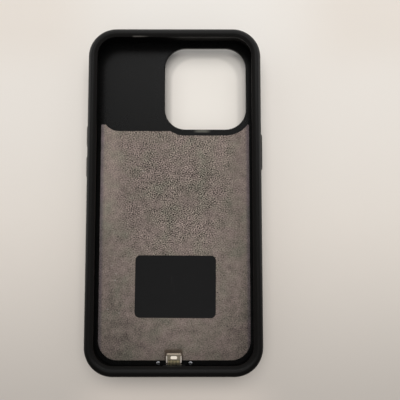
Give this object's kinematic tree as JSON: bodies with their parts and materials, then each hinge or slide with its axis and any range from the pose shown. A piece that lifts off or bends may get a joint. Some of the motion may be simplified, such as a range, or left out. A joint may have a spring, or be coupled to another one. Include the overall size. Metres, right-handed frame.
{
  "type": "battery charging case",
  "caption": "Battery charging case for a phone: soft bumper with a lip round a lined tray, camera opening, plug in the bottom wall, battery hump, power button and charge lights behind.",
  "frame": {"origin": "middle of the case's outline on the surface that it lies on, back down", "axes": "+Z out of the phone opening, +Y along the case towards the camera end, +X to the right when looking into the opening"},
  "size_m": [0.0782, 0.153, 0.019],
  "materials": {
    "bumper_black": "satin",
    "shell_black": "fine matte grain",
    "suede_grey": "short nap",
    "label_black": "matte film",
    "screw_steel": "plain",
    "plug_metal": "plated",
    "insert_black": "moulded",
    "contact_gold": "gold flash",
    "board_green": "solder mask",
    "socket_metal": "plated",
    "chip_black": "moulded",
    "coil_grey": "ferrite",
    "capacitor_tan": "ceramic",
    "light_clear": "clear",
    "cell_foil": "foil pouch",
    "pad_white": "adhesive foam",
    "button_black": "polished"
  },
  "bodies": {
    "case": {"bumper_frame": "bumper_black", "back_shell": "shell_black", "inner_panel": "shell_black", "suede_lining": "suede_grey", "blank_label": "label_black", "panel_screws": "screw_steel", "plug_blade": "plug_metal", "contact_insert": "insert_black", "plug_contacts": "contact_gold", "plug_collar": "insert_black", "riser_board": "board_green", "main_board": "board_green", "socket_shell": "socket_metal", "socket_body": "insert_black", "socket_contacts": "contact_gold", "charge_chip": "chip_black", "power_coil": "coil_grey", "capacitors": "capacitor_tan", "charge_lights": "light_clear", "light_guide": "light_clear", "tact_switch": "chip_black", "battery_cell": "cell_foil", "cell_pad": "pad_white", "cell_tabs": "socket_metal"},
    "power_button": {"power_button": "button_black", "switch_plunger": "button_black"}
  },
  "joints": [
    {"name": "power_press", "type": "slide", "parent": "case", "child": "power_button", "axis": [0, 0, 1], "range_m": [0, 0.00025], "stiffness_N_per_m": 1500}
  ]
}
